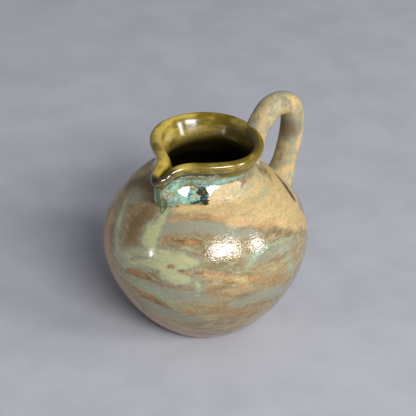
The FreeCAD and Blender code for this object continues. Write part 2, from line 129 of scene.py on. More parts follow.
# Brushwork: each kind has its strokes, and each stroke its places: degrees round from the
# handle, height and half width in mm, and the distance from the axis where it isn't on the
# round wall
BRUSHED = {
    "grey_wash": (
        ((207, 70.6, 1.5), (214, 71, 2.6), (228, 72.6, 3), (244, 72.6, 3), (258, 71, 2.8),
         (274, 68, 2)),
        ((262, 60, 1.4), (272, 58.4, 2.4), (285, 58.6, 2.6), (300, 56, 2)),
        ((206, 28, 3), (221, 29, 3), (236, 26, 2)),
        ((160, 76, 4), (172, 74, 3)),
        ((256, 37, 3), (272, 38, 4), (296, 33, 4)),
        ((206, 44, 2), (214, 43.5, 3.4), (228, 43, 3.4), (244, 42, 2)),
        ((20, 60, 4), (48, 64, 5), (76, 60, 4)),
        ((92, 30, 4), (120, 34, 5), (142, 30, 3)),
        ((330, 44, 3), (352, 40, 5), (12, 36, 4)),
    ),
    "sand": (
        ((208, 77, 3), (222, 78, 3), (241, 79, 3.4), (262, 78, 5), (285, 77, 8), (310, 77, 10)),
        ((292, 73, 6), (304, 70, 9), (320, 68, 10), (336, 70, 10), (350, 72, 9), (20, 76, 6),
         (50, 74, 5)),
        ((308, 62, 4), (320, 60, 5), (326, 54, 4)),
        ((262, 74, 3), (282, 73, 4)),
        ((240, 80, 2), (248, 82, 3.4), (258, 84, 4), (272, 84, 4)),
        ((240, 55, 1.2), (250, 53, 1.6), (262, 50, 1.4)),
        ((60, 48, 3), (88, 50, 4), (112, 46, 3)),
        ((80, 80, 3), (110, 78, 5), (140, 78, 4)),
    ),
    "ochre_edge": (
        # The first stroke is an ochre band along the belly's left side and bottom, widened at the
        # bottom as painted light from the floor
        ((160, 60, 5), (166, 51, 6), (172, 42, 6), (180, 33, 6), (189, 24, 5.6), (201, 14.6, 4.6),
         (220, 9, 3.4), (240, 5.4, 3.6), (262, 4, 3.6), (290, 5, 3)),
        ((146, 40, 3), (140, 28, 4), (150, 18, 4)),
        ((208, 26, 0.6), (220, 19, 0.8), (236, 14, 0.9), (252, 12.4, 0.6)),
        ((194, 41.6, 0.4), (199, 40, 0.6), (205, 39.6, 0.5)),
        ((206, 73.4, 0.5), (215, 74, 0.8), (229, 76, 1), (243, 76, 1), (255, 75, 0.9),
         (266, 72.8, 0.9), (281, 69.4, 1), (294, 67.8, 0.8)),
        ((238, 55.4, 0.8), (246, 55.2, 1.1), (254, 52, 1)),
        ((20, 70, 1.2), (44, 69, 1.4), (70, 68, 1.2)),
        ((70, 10, 3), (110, 6, 3.4), (150, 9, 3)),
        ((96, 56, 1.6), (118, 54, 1.8), (136, 50, 1.4)),
    ),
    "sage": (
        ((165, 71, 1.3), (170, 67, 2), (175, 63, 2.1), (180, 57.4, 2.1), (184, 53, 2.2)),
        ((184, 51, 3), (191, 54.6, 2.6), (198, 58.6, 2), (207, 60.8, 2.4), (217, 60.6, 3.8),
         (226, 60.2, 3.4), (233, 60, 2)),
        ((207, 76, 1.6), (206, 73, 2.4), (204, 69.6, 3.4), (204, 65, 4), (206, 62, 3.6)),
        ((190, 50, 2.6), (197, 52.4, 2.2), (208, 56.4, 2), (220, 56.6, 2.2), (228, 57.6, 1.8)),
        ((218, 52.6, 3), (224, 52.4, 3.4), (230, 52.4, 2.4)),
        ((236, 50.4, 1), (236.5, 47, 1.4), (236, 44.6, 0.9)),
        ((204, 93.4, 2.2, 33), (206, 91.4, 2, 30.5)),
        ((96, 72, 1.4), (99, 64, 1.8), (104, 56, 2.6), (112, 50, 3.4), (128, 48, 3.6),
         (142, 50, 2.2)),
        ((50, 42, 1.4), (58, 36, 2), (70, 33, 2.6), (84, 34, 1.6)),
    ),
    "sage_veil": (
        ((186, 43, 2), (200, 42.6, 3), (214, 41, 3), (224, 37, 2.4)),
        ((289, 57, 1.6), (292, 54, 2.4), (293, 48, 2.6), (298, 42, 2.4), (304, 36, 1.6)),
        ((246, 57.4, 0.8), (258, 56, 1)),
        ((264, 60, 0.8), (276, 62, 1), (290, 61, 1)),
        ((288, 78, 0.8), (300, 77, 1.2), (312, 77.4, 1), (322, 79, 0.6)),
        ((270, 83, 1), (284, 82, 1.6), (298, 82, 1.2)),
        ((310, 84, 0.8), (318, 82, 1.2), (324, 80, 0.8)),
        ((18, 50, 3), (30, 46, 4), (38, 38, 4)),
    ),
    "aqua": (
        ((246, 61, 0.4), (253, 60, 0.6), (258, 57, 0.7), (262, 55.2, 0.8), (266, 57.4, 1.1),
         (271, 60.4, 1.3), (281, 61.4, 1.1), (293, 60.4, 1.1), (307, 56.4, 0.9)),
        ((263, 54.6, 0.6), (268, 53, 0.5), (271, 46.5, 0.5)),
        ((204, 33, 0.5), (212, 31.4, 0.9), (223, 34, 0.9), (229, 31, 0.7)),
        ((212, 46.6, 0.6), (200, 45.4, 0.6), (190, 45, 0.7), (186, 47.6, 0.7)),
        ((300, 84.6, 0.6), (308, 83, 0.9), (315, 81.6, 0.5)),
        ((243, 69.4, 0.4), (240, 66, 0.5), (228, 65.4, 0.5), (216, 66, 0.4)),
        ((196, 67, 0.5), (199, 71, 0.6), (200, 74, 0.4)),
        ((278, 73.5, 0.4), (286, 74, 0.4), (292, 73.2, 0.4)),
        ((60, 58, 0.6), (74, 56, 0.8), (82, 51, 0.7), (96, 52, 0.5)),
        ((10, 30, 0.5), (22, 32, 0.8), (34, 29, 0.5)),
    ),
    "dark_panel": (
        ((189, 73, 3), (190, 69, 4.4), (190, 64.5, 4)),
        ((196, 74, 2), (197, 69, 2.4), (195, 63, 2)),
        ((154, 60, 3), (158, 54, 3), (162, 48, 2)),
        ((176, 80, 3), (160, 78, 4), (150, 74, 4)),
        ((112, 66, 3), (122, 62, 4), (134, 63, 3)),
    ),
    "russet": (
        ((212, 67.4, 1.6), (222, 68.4, 2), (234, 68.2, 1.6)),
        ((266, 50, 2.4), (272, 48, 3)),
        ((276, 46, 3), (284, 44, 4), (292, 41, 3)),
        ((196, 38.6, 1), (203, 37, 2.6), (211, 36.4, 2.8), (218, 34.4, 2)),
        ((246, 34, 2.6), (258, 30, 3.4), (276, 26, 3.4)),
        ((242, 46, 2.4), (250, 44, 2)),
        ((301, 60.6, 0.8), (303, 59.6, 0.8)),
        ((62, 26, 3), (86, 22, 4), (104, 24, 2)),
        ((128, 40, 1.6), (138, 41, 2)),
    ),
    "umber": (
        ((220, 57.4, 0.5), (222, 57.6, 0.7)),
        ((226, 55.6, 0.4), (229, 55.8, 0.6), (231, 55.4, 0.5)),
        ((193, 47.2, 0.6), (197, 48.2, 1.4), (202, 48.8, 1.9), (207, 49, 1.4), (211, 48.7, 0.4)),
        ((197, 39, 0.7), (203, 37.2, 1.9), (210, 36.6, 2.3), (217, 34.4, 1.8), (221, 33, 0.7)),
        ((218, 67.4, 0.7), (226, 67.6, 1.5), (234, 67.8, 1.6), (240, 68, 0.5)),
        ((100, 42, 0.6), (106, 42.6, 1.4), (112, 42.4, 0.6)),
    ),
    "orange": (
        ((258, 44.6, 0.6), (260, 45.6, 0.9), (261.5, 47.6, 0.7)),
        ((266, 50.6, 0.6), (270, 49.8, 0.8)),
        ((230, 33.4, 0.9), (234, 32.4, 0.9)),
        ((229, 67.3, 0.3), (236, 67.6, 0.4)),
        ((230, 55.2, 0.5), (232, 55.2, 0.4)),
        ((195, 48, 0.4), (200, 49.4, 0.6)),
        ((200, 38.6, 0.4), (205, 38, 0.5), (211, 37.8, 0.5)),
        ((222, 57.6, 0.4), (223, 57.6, 0.3)),
        ((104, 42.6, 0.4), (108, 42.8, 0.5)),
        ((74, 40, 0.7), (78, 40.6, 0.8)),
    ),
    "collar": (
        ((246, 91.6, 0.4), (258, 91.4, 1.4), (272, 90.8, 2.6), (288, 90.4, 3), (304, 90.4, 2.8),
         (322, 90.6, 2.2), (340, 91, 1.6)),
    ),
    "neck_wash": (
        ((204, 91, 3, 31), (212, 91, 4.6), (224, 90.5, 4.6), (238, 90.4, 4.6), (252, 91, 3.6),
         (266, 91.4, 2.6), (282, 91.4, 1.6), (300, 91, 1)),
        ((206, 86, 4, 30.5), (212, 85, 4)),
        ((130, 90, 2), (160, 90, 3), (190, 90, 3), (200, 90, 3, 31)),
    ),
    "turquoise": (
        ((208, 80.4, 2.4, 30.5), (211, 82, 3.2), (216, 82, 3.4), (223, 82.6, 3.6), (231, 83.4, 3.4),
         (239, 85, 2.7), (247, 87, 1.8), (258, 88.4, 1.3), (270, 88.6, 1), (288, 88.4, 0.9),
         (304, 87.6, 0.8)),
        ((207, 88, 2.6, 30), (214, 88.6, 2.2), (226, 88, 2), (240, 88.6, 1.6)),
        ((60, 87, 1.2), (90, 86, 2), (120, 87, 2.4), (150, 86, 2)),
    ),
    "pale_run": (
        ((214, 92.4, 0.5), (226, 92, 0.6), (240, 91.6, 0.5), (254, 91, 0.5)),
        ((246, 88, 1), (258, 88.6, 1.1), (270, 89, 0.8), (284, 88.4, 0.7)),
        ((210, 83.6, 0.9), (215, 84.6, 0.7)),
    ),
    "brown_pool": (
        ((209, 87.2, 0.6), (216, 87.2, 1), (226, 87, 1), (236, 87.4, 0.9), (246, 88.4, 0.5)),
        ((220, 90.4, 0.8), (236, 90.2, 1), (250, 90, 0.6)),
    ),
    "ink": (
        ((235, 90, 0.8), (236, 87.4, 1.3), (237, 86, 1.6), (238, 84, 1.9), (239.5, 81.6, 1.6)),
        ((234, 80.8, 0.5), (230, 80.4, 0.5), (227, 80.2, 0.3)),
        ((209, 79, 0.5), (211, 79, 0.6), (213, 78.6, 0.4)),
        ((203, 94.4, 1.3, 38.4), (203.5, 95.6, 1, 37)),
    ),
    "tip_dark": (
        ((202, 94.4, 3, 38.6), (205, 95.6, 3, 36), (209, 96.4, 2.4, 33), (213, 97, 1.4, 30.4)),
        ((203, 98, 2.6, 34), (203, 99, 2, 31)),
    ),
    # Painted shade: a dark slot beside the handle's foot on the shoulder, and a dark line where its
    # root meets the neck
    "crevice_shade": (
        ((346, 73.4, 0.8), (340, 72, 1.3), (335, 70, 1.8), (331, 67.8, 2.1), (329, 66.2, 1.5)),
        ((8, 84, 1.2, 29), (10, 80, 1.2, 30)),
    ),
}
# The coats of the painted glaze in the order they are laid: glaze, kind of stroke, softness of
# its edge in mm, strength, mm wider than its strokes, unevenness of its edge, and how far the
# streaks wear it through
LAYERS = (
    ("grey_wash", "grey_wash", 1.8, 0.93, 0.0, 0.8, 0.15),
    ("sand", "sand", 2.0, 0.95, 0.0, 0.8, 0.35),
    ("russet", "russet", 2.6, 0.65, 0.0, 0.9, 0.6),
    ("ochre_edge", "ochre_edge", 1.2, 0.8, 0.0, 0.4, 0.4),
    ("umber", "dark_panel", 2.6, 0.85, 0.0, 0.7, 0.3),
    ("thin_sage", "sage_veil", 3.0, 0.75, 0.0, 0.8, 0.5),
    ("grey_wash", "sage", 2.4, 0.9, 1.8, 0.7, 0.3),
    ("thin_sage", "sage", 1.3, 0.93, 0.0, 0.5, 0.35),
    ("aqua", "aqua", 0.55, 0.85, 0.0, 0.2, 0.4),
    ("aqua", "umber", 0.7, 0.5, 1.1, 0.3, 0.5),
    ("rust", "umber", 0.8, 0.95, 0.4, 0.3, 0.2),
    ("orange", "orange", 0.9, 0.85, 0.3, 0.3, 0.5),
    ("smear", "neck_wash", 1.0, 0.95, 0.4, 0.3, 0.0),
    ("olive", "collar", 1.0, 0.95, 0.0, 0.3, 0.0),
    ("olive", "turquoise", 0.9, 0.6, 0.9, 0.3, 0.0),
    ("milky", "turquoise", 0.9, 1.0, 0.2, 0.3, 0.0),
    ("olive", "brown_pool", 0.9, 0.9, 0.2, 0.3, 0.3),
    ("turquoise_pale", "pale_run", 0.8, 0.8, 0.0, 0.22, 0.4),
    ("pool", "ink", 0.7, 0.97, 0.3, 0.9, 0.0),
    # Painted shade in the crevices by the handle
    ("ink", "crevice_shade", 1.1, 0.85, 0.3, 0.08, 0.0),
)
TIP_LAYER = ("olive_dark_and_shade", "tip_dark", 1.6, 0.92, 0.0, 0.3, 0.0)


def length(name, description, default):
    """A length property, kept in metres."""
    return FloatProperty(name=name, description=description, default=default, unit="LENGTH")


def colour(name, description, red, green, blue):
    """A colour property, written as it looks on a screen from 0 to 255."""
    linear = [pow((part / 255 + 0.055) / 1.055, 2.4) for part in (red, green, blue)]
    return FloatVectorProperty(
        name=name, description=description, default=(*linear, 1.0), size=4, subtype="COLOR",
        min=0.0, max=1.0)


class JugGlazeColours(bpy.types.PropertyGroup):
    """Colours of the fired glazes and the clay."""

    ground: colour("Ground", "Tan ground of the belly", 159, 141, 103)
    ground_dark: colour("Dark ground", "Where the ground is thin", 130, 109, 77)
    ground_light: colour("Light ground", "Where the ground is thick", 178, 164, 123)
    grey_wash: colour("Grey wash", "Grey-green wash over the ground", 144, 144, 124)
    sand: colour("Sand", "Sand glaze of the shoulder and handle", 202, 174, 120)
    ochre_edge: colour("Ochre edge", "Where the sand breaks at an edge", 198, 150, 98)
    sage: colour("Sage", "Sage glaze poured from the spout", 182, 184, 132)
    aqua: colour("Aqua", "Blue-green rim of a sage pool", 150, 168, 136)
    umber: colour("Umber", "Bare brown patches between glazes", 112, 84, 52)
    russet: colour("Russet", "Iron brown that breaks through the ground", 157, 123, 81)
    orange: colour("Orange", "Iron flecks", 190, 138, 84)
    turquoise: colour("Turquoise", "Runny glaze under the lip", 88, 140, 138)
    turquoise_pale: colour("Pale turquoise", "Milky streaks in the turquoise", 152, 190, 172)
    run: colour("Run", "Thick run under the spout", 122, 138, 94)
    # The dark run colour is painted shade along the run's right side
    run_shaded_side: colour("Dark run", "Where the run pools", 58, 72, 40)
    ink: colour("Ink", "Blue-black pools in the turquoise", 8, 11, 9)
    olive: colour("Olive", "Amber-olive glaze of the lip and inside", 110, 92, 8)
    # Light olive is also painted light on the mouth's lit inner wall; dark olive is also painted
    # shade deep inside the mouth and on its shaded side
    olive_thin_and_lit: colour("Light olive", "Where the olive glaze is thin", 182, 158, 74)
    olive_dark_and_shade: colour("Dark olive", "Where the olive glaze gathers", 30, 25, 6)
    clay: colour("Clay", "Fired stoneware", 150, 118, 88)
    floor: colour("Floor", "Studio floor", 174, 175, 183)


class JugClaySizes(bpy.types.PropertyGroup):
    """Sizes of the clay under its coats."""

    base_radius: length("Base radius", "Clay where it meets the foot ring", HIGHEST["foot_ring"].x)
    base_height: length("Base height", "Underside of the thrown body", LOWEST["thrown_body"].z)
    belly_radius: length("Belly radius", "Clay at its fullest", HIGHEST["thrown_body"].y)
    belly_height: length("Belly height", "Height of the fullest part", 43 * MM)
    joint_radius: length("Joint radius", "Clay where the neck is luted on", 31.5 * MM)
    joint_height: length("Joint height", "Foot of the neck", LOWEST["spouted_neck"].z)
    wall: length("Wall", "Thickness of the belly", 4 * MM)
    joint_wall: length("Joint wall", "Thickness at the joint, level across", 5 * MM)
    floor_rise: length("Floor thickness", "Clay under the hollow", 5.3 * MM)
    floor_corner: length("Floor corner", "Extra wall round the floor", 6.4 * MM)
    waist_radius: length("Waist radius", "Narrowest part of the neck", 22.9 * MM)
    neck_wall: length("Neck wall", "Thickness of the neck at its waist", 3.5 * MM)
    neck_rise: length("Neck rise", "Joint to waist", 11.5 * MM)
    lip_rise: length("Lip rise", "Waist to the middle of the lip", 8.7 * MM)
    lip_radius: length("Lip radius", "Crest of the lip", 25.6 * MM)
    lip_half_width: length("Lip half width", "Half the rolled lip across", 2.1 * MM)
    lip_half_height: length("Lip half height", "Half the rolled lip's height", 2.2 * MM)
    spout_turn: FloatProperty(
        name="Spout turn", description="Angle of the spout round from the handle",
        default=math.radians(203), subtype="ANGLE")
    spout_length: length("Spout length", "Reach of the spout past the lip", 12.2 * MM)
    spout_droop: length("Spout droop", "Drop of the spout's tip", 4 * MM)


class JugCoatSizes(bpy.types.PropertyGroup):
    """Sizes of the fired coats and of the relief in them."""

    thickness: length(
        "Coat", "Thickness of a coat", HIGHEST["body_glaze"].y - HIGHEST["thrown_body"].y)
    ring_depth: length("Ring depth", "Depth of the throwing rings", 0.01 * MM)
    ring_spacing: length("Ring spacing", "Spacing of the throwing rings", 7 * MM)
    unevenness: length("Unevenness", "How far the hand-thrown wall wanders", 0.08 * MM)
    run_half_width: length("Run half width", "Half the run's width", 2 * MM)
    run_stand: length("Run stand", "How far the run's middle stands off the keel", 1.7 * MM)
    seed: IntProperty(name="Seed", description="Choice of the uneven places", default=7)


class JugHandleSizes(bpy.types.PropertyGroup):
    """Sizes of the pulled handle and the wads at its ends."""

    span: length("Span", "Reach of the centre line past the waist", 27.1 * MM)
    rise: length("Rise", "Rise of the centre line over the lip", 10.3 * MM)
    root_rise: length("Root rise", "Upper end over the joint", 5 * MM)
    foot_drop: length("Foot drop", "Lower end below the joint", 16 * MM)
    root_sink: length("Root sink", "Depth of the upper end in the clay", 1.5 * MM)
    root_reach: length("Root reach", "Reach of the upper end down into the shoulder", 5 * MM)
    foot_sink: length("Foot sink", "Depth of the lower end in the clay", 5.5 * MM)
    half_depth: length("Half depth", "Half the section in its plane", 5.3 * MM)
    half_width: length("Half width", "Half the section across", 5.7 * MM)
    foot_half_width: length("Foot half width", "Half the section across at its foot", 6.4 * MM)
    unevenness: length("Unevenness", "How far the pulled rod wanders", 0.4 * MM)
    upper_flare: length("Upper flare", "Flare of the upper wad", 1.6 * MM)
    lower_flare: length("Lower flare", "Flare of the lower wad", 2.6 * MM)


def mix(start, end, share):
    """The value this share of the way from start to end."""
    return start + (end - start) * share


def polar(radius, degrees, height=0.0):
    """The point at a distance from the axis, an angle round from the handle and a height."""
    angle = math.radians(degrees)
    return np.array((radius * math.cos(angle), radius * math.sin(angle), height))


def end_slope(values, places):
    """The slope of a curve at its first point, from the parabola through the first three."""
    first = (values[1] - values[0]) / (places[1] - places[0])
    second = (values[2] - values[1]) / (places[2] - places[1])
    return first - (second - first) * (places[1] - places[0]) / (places[2] - places[0])


def spline_through(values, places, wanted, closed=False):
    """A smooth curve through values at their places, read at the wanted places."""
    values = np.asarray(values, float)
    places = np.asarray(places, float)
    wanted = np.asarray(wanted, float)
    if closed:
        values = np.concatenate([values, values[:1]])
    flat = values.reshape(len(values), -1)
    gaps = np.diff(places)
    slopes = np.diff(flat, axis=0) / gaps[:, None]
    last = len(flat) - 1
    system = np.zeros((last + 1, last + 1))
    pull = np.zeros_like(flat)
    for i in range(1, last):
        system[i, i - 1:i + 2] = gaps[i - 1], 2 * (gaps[i - 1] + gaps[i]), gaps[i]
        pull[i] = 6 * (slopes[i] - slopes[i - 1])
    if closed:
        system[0, [0, 1, last - 1]] = 2 * (gaps[0] + gaps[-1]), gaps[0], gaps[-1]
        pull[0] = 6 * (slopes[0] - slopes[-1])
        system[last, [0, last]] = 1, -1
    else:
        system[0, :2] = 2 * gaps[0], gaps[0]
        pull[0] = 6 * (slopes[0] - end_slope(flat, places))
        system[last, -2:] = gaps[-1], 2 * gaps[-1]
        pull[last] = 6 * (end_slope(flat[::-1], places[::-1]) - slopes[-1])
    bends = np.linalg.solve(system, pull)
    span = np.clip(np.searchsorted(places, wanted, "right") - 1, 0, last - 1)
    after = ((wanted - places[span]) / gaps[span])[:, None]
    before = 1 - after
    sixth = (gaps[span] ** 2 / 6)[:, None]
    lift = (before ** 3 - before) * bends[span] + (after ** 3 - after) * bends[span + 1]
    curve = before * flat[span] + after * flat[span + 1] + lift * sixth
    return curve.reshape((len(wanted),) + values.shape[1:])


def running_shares(points):
    """Shares of the length of a line of points, from 0 at its start to 1 at its end."""
    steps = np.linalg.norm(np.diff(points, axis=0), axis=1)
    return np.concatenate([[0.0], np.cumsum(steps)]) / steps.sum()


def lip_columns(clay):
    """For each point of the lip: its crest, outward side, place round the throat and pinch."""
    reach = clay.lip_radius + clay.spout_length
    far = [polar(clay.lip_radius * share, turn) for turn, share in FAR_LIP_SHARES]
    spout = [np.array((reach * out, clay.lip_radius * across, 0)) for out, across in SPOUT_SHARES]
    near = [polar(clay.lip_radius * share, turn) for turn, share in NEAR_LIP_SHARES]
    plan = np.array(far + spout + near)
    shares = running_shares(np.concatenate([plan, plan[:1]]))
    tip = len(far) + int(np.argmax([point[0] for point in spout]))
    along = np.roll(plan, -1, axis=0) - np.roll(plan, 1, axis=0)
    side = np.stack([along[:, 1], -along[:, 0], 0 * along[:, 0]], axis=1)
    side /= np.linalg.norm(side, axis=1, keepdims=True)
    turns = clay.spout_turn + math.tau * (shares[:-1] - shares[tip])
    past_lip = np.linalg.norm(plan, axis=1) - clay.lip_radius
    nose = np.maximum(0, past_lip / clay.spout_length)
    to_spout = np.array(Matrix.Rotation(clay.spout_turn, 3, "Z"))
    return plan @ to_spout.T, side @ to_spout.T, turns, nose, shares


def ring(clay, columns, radius, height, pinch=0.0, spout_share=SPOUT_HOLLOW_SHARE):
    """One ring of the vessel: round at pinch 0, and along the lip's plan at pinch 1."""
    crest, side, turns, nose, _ = columns
    offset = (radius - clay.lip_radius) * mix(1, spout_share, nose)
    lip_height = clay.joint_height + clay.neck_rise + clay.lip_rise
    round_ring = np.stack([radius * np.cos(turns), radius * np.sin(turns), 0 * turns], axis=1)
    points = mix(round_ring, crest + side * offset[:, None], pinch)
    droop = clay.spout_droop * nose * (height - clay.joint_height)
    points[:, 2] = height - pinch * droop / (lip_height - clay.joint_height)
    return points


def belly_levels(clay, bottom_radius, bottom, full_radius, joint_radius):
    """Radius and height pairs from the bottom of the belly up to the joint with the neck."""
    levels = [(bottom_radius, bottom)]
    for rise, swell in SWELL_SHARES:
        radius = mix(bottom_radius, full_radius, swell)
        levels.append((radius, mix(bottom, clay.belly_height, rise)))
    for rise, swell in SHOULDER_SHARES:
        height = mix(clay.belly_height, clay.joint_height, rise)
        levels.append((mix(joint_radius, full_radius, swell), height))
    return levels


def vessel_rings(clay, columns):
    """The rings of the clay from the base up over the lip and down to the floor, and the
    numbers of those where one piece or coat gives way to the next."""
    waist = clay.joint_height + clay.neck_rise
    lip = waist + clay.lip_rise
    bore = clay.waist_radius - clay.neck_wall
    inside = clay.base_radius - clay.floor_corner
    floor = clay.base_height + clay.floor_rise
    outside = (clay.base_radius, clay.base_height, clay.belly_radius, clay.joint_radius)
    hollow = (inside, floor, clay.belly_radius - clay.wall, clay.joint_radius - clay.joint_wall)

    def flared(shares, narrow, wide, low, high):
        """Rings between two heights that widen from a narrow to a wide radius."""
        return [ring(clay, columns, mix(narrow, wide, flare), mix(low, high, rise), pinch)
                for rise, flare, pinch in shares]

    rings = [ring(clay, columns, *level) for level in belly_levels(clay, *outside)]
    marks = {"base": 0, "shoulder": len(rings) - 2, "joint": len(rings) - 1}
    neck = clay.waist_radius, clay.joint_radius, clay.joint_height, waist
    rings += flared(NECK_SHARES, *neck)
    marks["waist"] = len(rings) - 1
    rings += flared(THROAT_SHARES, clay.waist_radius, clay.lip_radius, waist, lip)
    marks["under_lip"] = len(rings) - 1
    for turn in LIP_TURNS:
        radius = clay.lip_radius + clay.lip_half_width * math.cos(math.radians(turn))
        height = lip + clay.lip_half_height * math.sin(math.radians(turn))
        rings.append(ring(clay, columns, radius, height, 1.0, SPOUT_LIP_SHARE))
    rings += flared(BORE_SHARES, bore, clay.lip_radius, waist, lip)
    marks["bore"] = len(rings) - 1
    rings += flared(BORE_FOOT_SHARES, bore, *neck[1:])
    marks["inner_joint"] = len(rings)
    rings += [ring(clay, columns, *level) for level in reversed(belly_levels(clay, *hollow))]
    rings += [ring(clay, columns, inside * share, floor) for share in FLOOR_SHARES]
    marks["floor"] = len(rings) - 1
    return np.array(rings), marks


class ClaySkin:
    """The clay's smooth skin as a fine grid, and the rows at which its marked rings lie."""

    # Rows of the grid between one marked ring and the next
    ROWS = (
        ("base", "joint", 92), ("joint", "waist", 16), ("waist", "under_lip", 12),
        ("under_lip", "bore", 40), ("bore", "inner_joint", 14), ("inner_joint", "floor", 56),
    )

    def __init__(self, clay, columns_round=252):
        columns = lip_columns(clay)
        _, _, _, nose, shares = columns
        rings, marks = vessel_rings(clay, columns)
        heights = running_shares(rings[:, 0])
        rows = [heights[marks["base"]]]
        self.row = {"base": 0}
        for start, end, count in self.ROWS:
            rows += list(np.linspace(heights[marks[start]], heights[marks[end]], count + 1)[1:])
            self.row[end] = len(rows) - 1
        around = np.arange(columns_round) / columns_round
        fine = spline_through(rings.transpose(1, 0, 2), shares, around, closed=True)
        self.points = spline_through(fine.transpose(1, 0, 2), heights, rows)
        along = np.roll(self.points, -1, axis=1) - np.roll(self.points, 1, axis=1)
        up = np.gradient(self.points, np.array(rows), axis=0)
        self.outward = np.cross(along, up)
        self.outward /= np.linalg.norm(self.outward, axis=2, keepdims=True)
        self.outward[-1] = 0, 0, 1
        self.marks = {name: heights[number] for name, number in marks.items()}
        tip = shares[int(np.argmax(nose))]
        keel = spline_through(rings.transpose(1, 0, 2), shares, [tip], closed=True)[0]
        self.keel = lambda wanted: spline_through(keel, heights, wanted)


class Wire:
    """One socket of a node tree; sums on it add their Math nodes."""

    def __init__(self, tree, socket):
        self.tree = tree
        self.socket = socket

    def node(self, kind, inputs=None, out=0, **settings):
        """A node of any kind: its settings first, then the values or links of its sockets."""
        node = self.tree.nodes.new(kind)
        for name, value in settings.items():
            setattr(node, name, value)
        for name, value in (inputs or {}).items():
            socket = node.inputs[name]
            if isinstance(value, Wire):
                self.tree.links.new(value.socket, socket)
            else:
                socket.default_value = value
        return Wire(self.tree, node.outputs[out])

    def sum(self, operation, first, second=0.0, third=0.0):
        """A Math node's result from wires or plain numbers."""
        return self.node("ShaderNodeMath", {0: first, 1: second, 2: third}, operation=operation)

    def __add__(self, other):
        return self.sum("ADD", self, other)

    def __radd__(self, other):
        return self.sum("ADD", other, self)

    def __sub__(self, other):
        return self.sum("SUBTRACT", self, other)

    def __rsub__(self, other):
        return self.sum("SUBTRACT", other, self)

    def __mul__(self, other):
        return self.sum("MULTIPLY", self, other)

    def __rmul__(self, other):
        return self.sum("MULTIPLY", other, self)

    def __truediv__(self, other):
        return self.sum("DIVIDE", self, other)

    def __rtruediv__(self, other):
        return self.sum("DIVIDE", other, self)

    def __pow__(self, other):
        return self.sum("POWER", self, other)

    def ease(self, low, high, start=0.0, end=1.0):
        """From start to end as this goes from low to high, soft at both ends."""
        return self.node(
            "ShaderNodeMapRange", {0: self, 1: low, 2: high, 3: start, 4: end},
            interpolation_type="SMOOTHSTEP")

    def blend(self, under, over):
        """A colour that goes from under to over with this share."""
        return self.node(
            "ShaderNodeMix", {0: self, 6: under, 7: over}, out=2, data_type="RGBA")


def new_tree(name, sizes):
    """A Geometry Nodes tree with named sizes, its input wires and a function that ends it."""
    tree = bpy.data.node_groups.new(name, "GeometryNodeTree")
    face = tree.interface
    face.new_socket("Geometry", in_out="INPUT", socket_type="NodeSocketGeometry")
    face.new_socket("Geometry", in_out="OUTPUT", socket_type="NodeSocketGeometry")
    for size, kind in sizes:
        face.new_socket(size, in_out="INPUT", socket_type="NodeSocket" + kind)
    start = tree.nodes.new("NodeGroupInput")
    end = tree.nodes.new("NodeGroupOutput")
    wires = {socket.name: Wire(tree, socket) for socket in start.outputs if socket.name}

    def finish(geometry, material):
        """Ends the tree with real meshes in one material."""
        real = geometry.node("GeometryNodeRealizeInstances", {0: geometry})
        dressed = real.node("GeometryNodeSetMaterial", {0: real, "Material": material})
        tree.links.new(dressed.socket, end.inputs[0])
        return tree

    return wires, finish


def made_by_nodes(piece, tree, sizes):
    """Runs a Geometry Nodes tree on a piece and keeps the result as its plain mesh."""
    modifier = piece.modifiers.new(tree.name, "NODES")
    modifier.node_group = tree
    for item in tree.interface.items_tree:
        if item.in_out == "INPUT" and item.name in sizes:
            modifier[item.identifier] = sizes[item.name]
    bpy.context.view_layer.update()
    depsgraph = bpy.context.evaluated_depsgraph_get()
    finished = bpy.data.meshes.new_from_object(
        piece.evaluated_get(depsgraph), preserve_all_data_layers=True, depsgraph=depsgraph)
    if not finished.polygons:
        raise RuntimeError(f"{piece.name} came out empty")
    piece.modifiers.clear()
    piece.data = finished
    finished.name = piece.name
    return piece


def new_piece(name, points, faces=(), edges=()):
    """An object with a plain mesh, placed by its mesh alone."""
    mesh = bpy.data.meshes.new(name)
    mesh.from_pydata([tuple(point) for point in points], list(edges), list(faces))
    mesh.update()
    piece = bpy.data.objects.new(name, mesh)
    bpy.context.collection.objects.link(piece)
    return piece


def store(mesh, name, values, kind="FLOAT"):
    """Keeps a value or a direction for each point of a mesh, by name."""
    attribute = mesh.attributes.new(name, kind, "POINT")
    attribute.data.foreach_set("vector" if kind == "FLOAT_VECTOR" else "value", np.ravel(values))


def brushed_depths(points, skin):
    """For each kind of brushwork, how many mm inside its nearest stroke each point lies."""
    profile = skin.points[: skin.row["under_lip"] + 1, 0]
    heights = profile[:, 2] / MM
    radii = np.hypot(profile[:, 0], profile[:, 1]) / MM
    flat = points.reshape(-1, 3) / MM
    depths = {}
    for name, strokes in BRUSHED.items():
        best = np.full(len(flat), FAR_OUTSIDE)
        for stroke in strokes:
            places = [
                (polar(*(out or [np.interp(height, heights, radii)]), turn, height), half)
                for turn, height, half, *out in stroke
            ]
            for (start, wide), (end, narrow) in zip(places, places[1:]):
                way = end - start
                share = np.clip((flat - start) @ way / (way @ way), 0, 1)
                away = np.linalg.norm(flat - start - share[:, None] * way, axis=1)
                best = np.maximum(best, mix(wide, narrow, share) - away)
        depths[name] = best
    return depths


def coat_faces(grid, glazed_rows, closed_below):
    """Faces between a coat's rows of point numbers, its glazed rows first, then its underside's.
    A coat that ends on the floor is fanned there to two middle points, which come last."""
    faces = []
    for number, level in enumerate(grid):
        if closed_below and number == glazed_rows - 1:
            continue
        above = grid[(number + 1) % len(grid)]
        corners = level, np.roll(level, -1), np.roll(above, -1), above
        faces += np.stack(corners, axis=1).tolist()
    if closed_below:
        centre = grid.size
        top, below = grid[glazed_rows - 1].tolist(), grid[glazed_rows].tolist()
        for i in range(len(top)):
            j = (i + 1) % len(top)
            faces += (top[i], top[j], centre), (below[j], below[i], centre + 1)
    return faces


